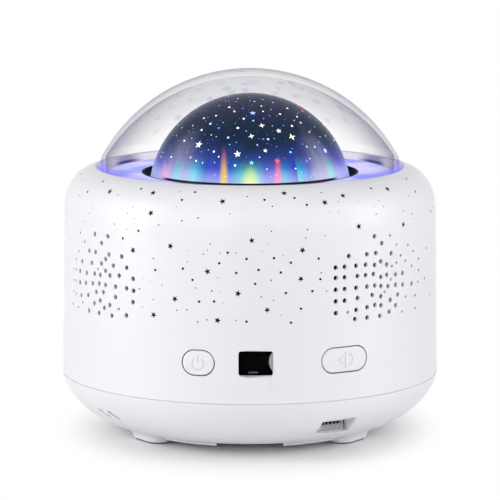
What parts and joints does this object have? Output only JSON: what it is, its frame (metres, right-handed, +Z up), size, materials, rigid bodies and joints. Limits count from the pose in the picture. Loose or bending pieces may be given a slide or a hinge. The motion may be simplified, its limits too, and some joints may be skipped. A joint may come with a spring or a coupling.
{
  "type": "star night light projector",
  "caption": "Drum-shaped night light projector with a turning star dome under a clear lift-off dome, side speakers, push buttons and a slide switch on a bowl base.",
  "frame": {"origin": "centre of the footprint, on the surface that the feet stand on", "axes": "+Z up along the axis of the drum and domes, -Y towards the side with the buttons, +X to the right seen from that side"},
  "size_m": [0.15, 0.15, 0.1457],
  "materials": {
    "white_shell": "satin",
    "button_white": "satin",
    "clear_plastic": "polished",
    "star_film": "gloss",
    "lit_diffuser": "satin",
    "black_plastic": "matt",
    "grey_plastic": "matt",
    "acetal": "satin",
    "soft_pad": "matt",
    "silicone": "matt",
    "foam": "matt",
    "cloth": "woven",
    "board_green": "satin",
    "chip_black": "matt",
    "led_cream": "gloss",
    "screw_steel": "plain",
    "bright_metal": "bright",
    "motor_steel": "plated",
    "brass": "turned",
    "cell_wrap": "gloss"
  },
  "bodies": {
    "housing": {"base_shell": "white_shell", "bottom_cover": "white_shell", "foot_pads": "soft_pad", "base_screws": "screw_steel", "cover_screws": "screw_steel", "upper_housing": "white_shell", "deck_ring": "lit_diffuser", "light_baffle": "black_plastic", "halo_board": "board_green", "halo_leds": "led_cream", "halo_screws": "screw_steel", "chassis": "white_shell", "chassis_screws": "screw_steel", "light_tower": "white_shell", "led_board": "board_green", "led_emitters": "led_cream", "centre_led": "clear_plastic", "bearing_washer": "acetal", "retaining_ring": "bright_metal", "motor_can": "motor_steel", "motor_plate": "motor_steel", "motor_screws": "screw_steel", "left_basket": "black_plastic", "right_basket": "black_plastic", "left_magnet": "motor_steel", "right_magnet": "motor_steel", "left_surround": "foam", "right_surround": "foam", "speaker_gaskets": "foam", "speaker_screws": "screw_steel", "acoustic_cloths": "cloth", "main_board": "board_green", "board_chips": "chip_black", "board_screws": "screw_steel", "usb_shell": "bright_metal", "usb_tongue": "black_plastic", "battery_cell": "cell_wrap", "battery_cradle": "black_plastic", "battery_contacts": "bright_metal", "control_boards": "board_green", "tact_switches": "chip_black", "slide_switch": "chip_black", "switch_bezel": "black_plastic", "status_light": "grey_plastic", "control_screws": "screw_steel"},
    "turntable": {"star_dome": "star_film", "turntable": "grey_plastic", "ring_gear": "acetal"},
    "motor_rotor": {"pinion": "brass", "motor_shaft": "motor_steel"},
    "clear_dome": {"clear_dome": "clear_plastic"},
    "power_button": {"power_button": "button_white", "power_plunger": "silicone"},
    "sound_button": {"sound_button": "button_white", "sound_plunger": "silicone"},
    "slide_knob": {"slide_knob": "button_white"},
    "left_cone": {"left_cone": "grey_plastic"},
    "right_cone": {"right_cone": "grey_plastic"}
  },
  "joints": [
    {"name": "star_dome_spin", "type": "hinge", "parent": "housing", "child": "turntable", "pos_m": [0, 0, 0.09], "axis": [0, 0, 1], "continuous": true},
    {"name": "motor_shaft_spin", "type": "hinge", "parent": "housing", "child": "motor_rotor", "pos_m": [0, 0.028, 0.08], "axis": [0, 0, 1], "continuous": true},
    {"name": "clear_dome_lift", "type": "slide", "parent": "housing", "child": "clear_dome", "axis": [0, 0, 1], "range_m": [0, 0.06]},
    {"name": "power_button_press", "type": "slide", "parent": "housing", "child": "power_button", "axis": [0.2639, 0.9646, 0], "range_m": [0, 0.0008], "stiffness_N_per_m": 800},
    {"name": "sound_button_press", "type": "slide", "parent": "housing", "child": "sound_button", "axis": [-0.4848, 0.8746, 0], "range_m": [0, 0.0008], "stiffness_N_per_m": 800},
    {"name": "mode_slide", "type": "slide", "parent": "housing", "child": "slide_knob", "axis": [-0.9996, -0.0297, 0], "range_m": [0, 0.0065]},
    {"name": "left_cone_stroke", "type": "slide", "parent": "housing", "child": "left_cone", "axis": [-0.8192, -0.5736, 0], "range_m": [-0.0004, 0.0004], "stiffness_N_per_m": 800},
    {"name": "right_cone_stroke", "type": "slide", "parent": "housing", "child": "right_cone", "axis": [0.7193, -0.6947, 0], "range_m": [-0.0004, 0.0004], "stiffness_N_per_m": 800}
  ],
  "couplings": [
    {"joint": "motor_shaft_spin", "follows": "star_dome_spin", "ratio": -4}
  ]
}
